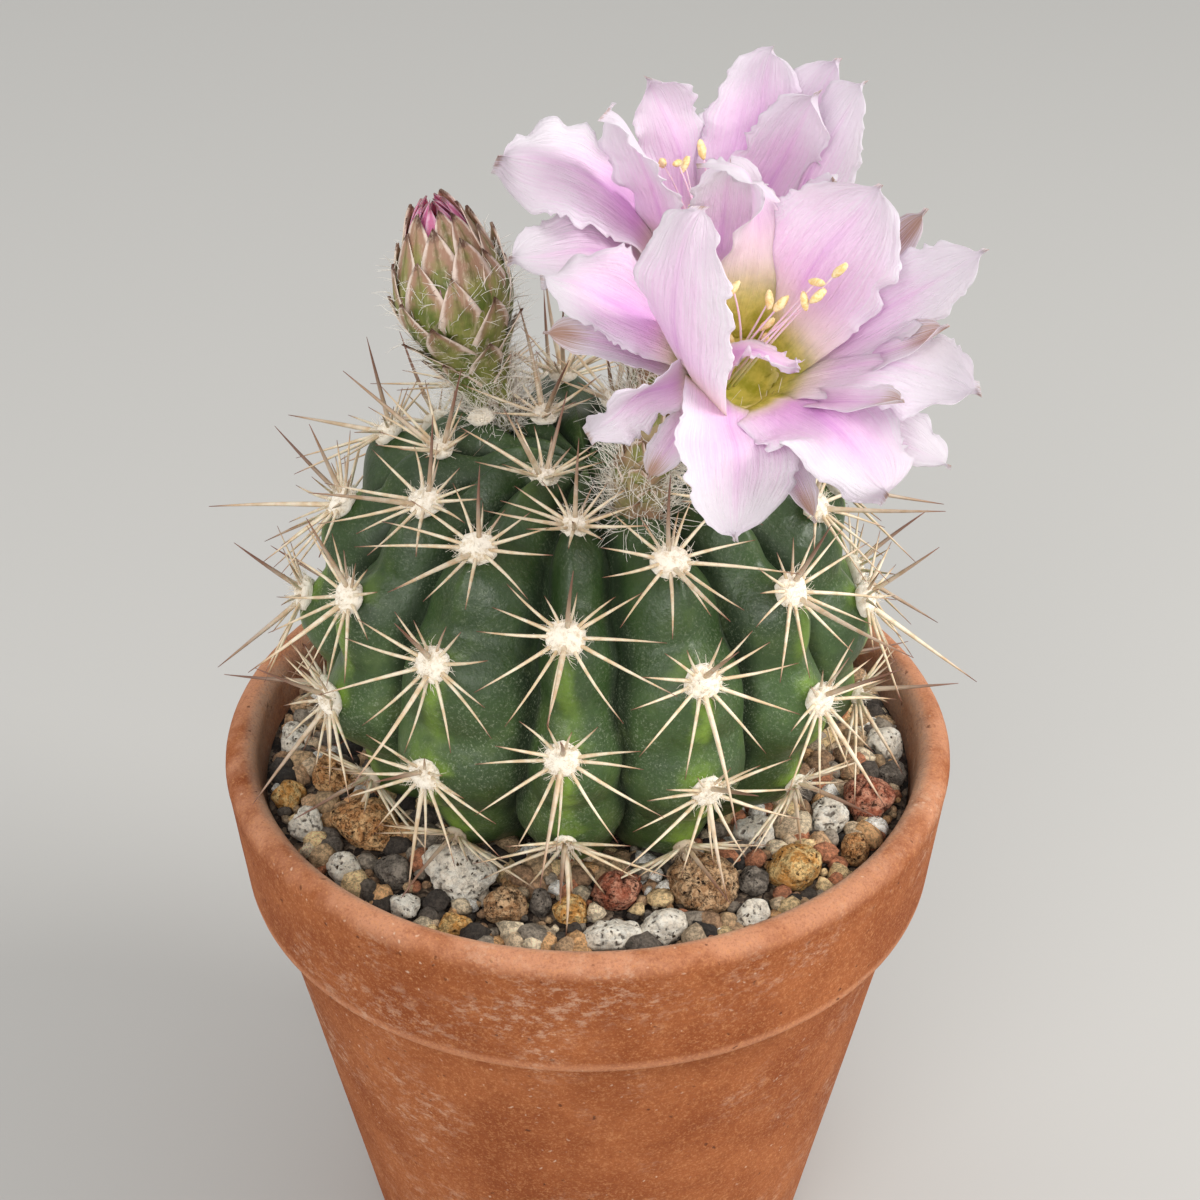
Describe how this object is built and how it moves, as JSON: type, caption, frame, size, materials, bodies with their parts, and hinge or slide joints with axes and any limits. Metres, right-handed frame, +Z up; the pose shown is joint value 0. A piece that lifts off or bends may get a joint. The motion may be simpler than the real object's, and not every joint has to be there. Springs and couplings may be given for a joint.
{
  "type": "potted cactus",
  "caption": "Round ribbed cactus with spine clusters, a scaly bud and open many-petalled blooms, in a tapered terracotta pot with a collar and stony top dressing.",
  "frame": {"origin": "middle of the pot's base, on the plane it stands on", "axes": "+Z up through the pot's middle; -Y is the side the front bloom leans to"},
  "size_m": [0.1426, 0.1412, 0.2553],
  "materials": {
    "terracotta": "matte fired clay, unglazed",
    "growing_mix": "dark bark-based growing mix with fine grit",
    "cactus_skin": "waxy green skin with pale woolly areoles and cream spines",
    "flower_tube": "hairy olive-brown tube with small scales",
    "petals": "soft pale pink-lilac, satin",
    "stamens": "pale pink filaments with pale yellow anthers, matte",
    "bud_scales": "green and pink-brown scales with white hairs",
    "bud_petals": "pink, satin",
    "white_stone": "white pumice, porous",
    "tan_stone": "tan pumice, porous",
    "yellow_stone": "yellow-ochre pumice, porous",
    "brown_stone": "brown mineral grit, matte",
    "red_stone": "red-brown lava, porous",
    "dark_stone": "dark grey grit, matte"
  },
  "bodies": {
    "root": {"pot": "terracotta", "growing_mix": "growing_mix", "cactus": "cactus_skin", "front_bloom_tube": "flower_tube", "front_bloom_petals": "petals", "front_bloom_stamens": "stamens", "back_bloom_tube": "flower_tube", "back_bloom_petals": "petals", "back_bloom_stamens": "stamens", "bud_scales": "bud_scales", "bud_petals": "bud_petals", "stone_01": "white_stone", "stone_02": "tan_stone", "stone_03": "white_stone", "stone_04": "white_stone", "stone_05": "white_stone", "stone_06": "white_stone", "stone_07": "white_stone", "stone_08": "white_stone", "stone_09": "white_stone", "stone_10": "white_stone", "stone_11": "white_stone", "stone_12": "white_stone", "stone_13": "dark_stone", "stone_14": "dark_stone", "stone_15": "dark_stone", "stone_16": "dark_stone", "stone_17": "yellow_stone", "stone_18": "brown_stone", "stone_19": "yellow_stone", "stone_20": "yellow_stone", "stone_21": "yellow_stone", "stone_22": "red_stone", "stone_23": "red_stone", "stone_24": "brown_stone", "stone_25": "tan_stone", "stone_26": "tan_stone", "stone_27": "tan_stone", "stone_28": "white_stone", "stone_29": "brown_stone", "stone_30": "dark_stone", "stone_31": "tan_stone", "stone_32": "white_stone"}
  },
  "joints": []
}
